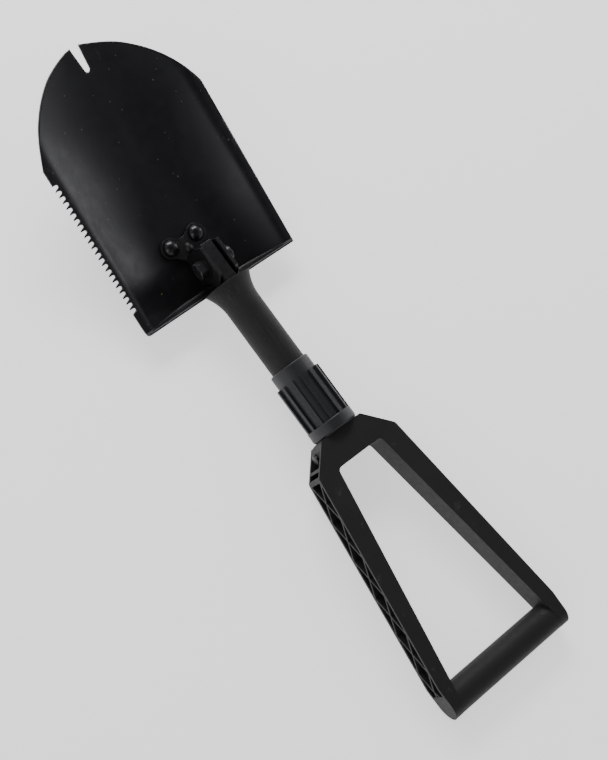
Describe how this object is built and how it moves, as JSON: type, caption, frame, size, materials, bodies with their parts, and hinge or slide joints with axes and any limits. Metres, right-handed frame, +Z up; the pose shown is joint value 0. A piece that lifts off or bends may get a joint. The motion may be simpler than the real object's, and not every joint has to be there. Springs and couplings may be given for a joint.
{
  "type": "folding camp shovel",
  "caption": "Tri-fold camp shovel: dished, toothed blade on a hinge, flared aluminium shaft with a locking collar, and a folding D-handle.",
  "frame": {"origin": "under the middle of the open tool, at the level of its lowest point, the back of the blade's heel", "axes": "+Y from the grip towards the blade's tip along the shaft, +X across, +Z up out of the blade's dish"},
  "size_m": [0.1552, 0.603, 0.0665],
  "materials": {
    "powder_coat": "semi-gloss black powder coat",
    "blackened_steel": "glossy black",
    "plain_steel": "zinc-plated",
    "anodised_tube": "black anodised, satin",
    "brass": "machined",
    "collar_plastic": "matte blue-grey black",
    "nylon": "fine-textured black nylon",
    "seal_rubber": "matte"
  },
  "bodies": {
    "link": {"tongue_bar": "blackened_steel", "tension_rod": "plain_steel", "rear_eye": "blackened_steel", "pivot_bush": "brass", "eye_bush": "brass", "front_roll_pin": "plain_steel", "rear_roll_pin": "plain_steel"},
    "blade": {"blade": "powder_coat", "hinge_bracket": "blackened_steel", "backing_plate": "powder_coat", "rivet_left": "blackened_steel", "rivet_right": "blackened_steel", "nut_washer": "blackened_steel", "bolt_washer": "blackened_steel", "pivot_nut": "blackened_steel", "pivot_bolt": "blackened_steel"},
    "shaft": {"shaft_tube": "anodised_tube", "threaded_sleeve": "plain_steel", "rod_guide_rear": "nylon", "rod_guide_front": "nylon"},
    "collar": {"collar_grip": "collar_plastic", "collar_nut": "brass", "thrust_washer": "plain_steel", "collar_seal": "seal_rubber"},
    "handle": {"handle_frame": "nylon", "handle_pin": "plain_steel", "pin_clip": "plain_steel"}
  },
  "joints": [
    {"name": "blade_fold", "type": "hinge", "parent": "link", "child": "blade", "pos_m": [0, 0.1023, 0.0376], "axis": [1, 0, 0], "range_deg": [0, 164]},
    {"name": "handle_fold", "type": "hinge", "parent": "link", "child": "handle", "pos_m": [0, -0.0746, 0.0263], "axis": [1, 0, 0], "range_deg": [0, 168]},
    {"name": "collar_turn", "type": "hinge", "parent": "link", "child": "collar", "pos_m": [0, -0.0323, 0.0328], "axis": [0, 1, 0], "range_deg": [0, 720]},
    {"name": "shaft_slide", "type": "slide", "parent": "link", "child": "shaft", "axis": [0, -1, 0], "range_m": [0, 0.008]}
  ],
  "couplings": [
    {"joint": "shaft_slide", "follows": "collar_turn", "m_per_rad": 0.00063662}
  ]
}
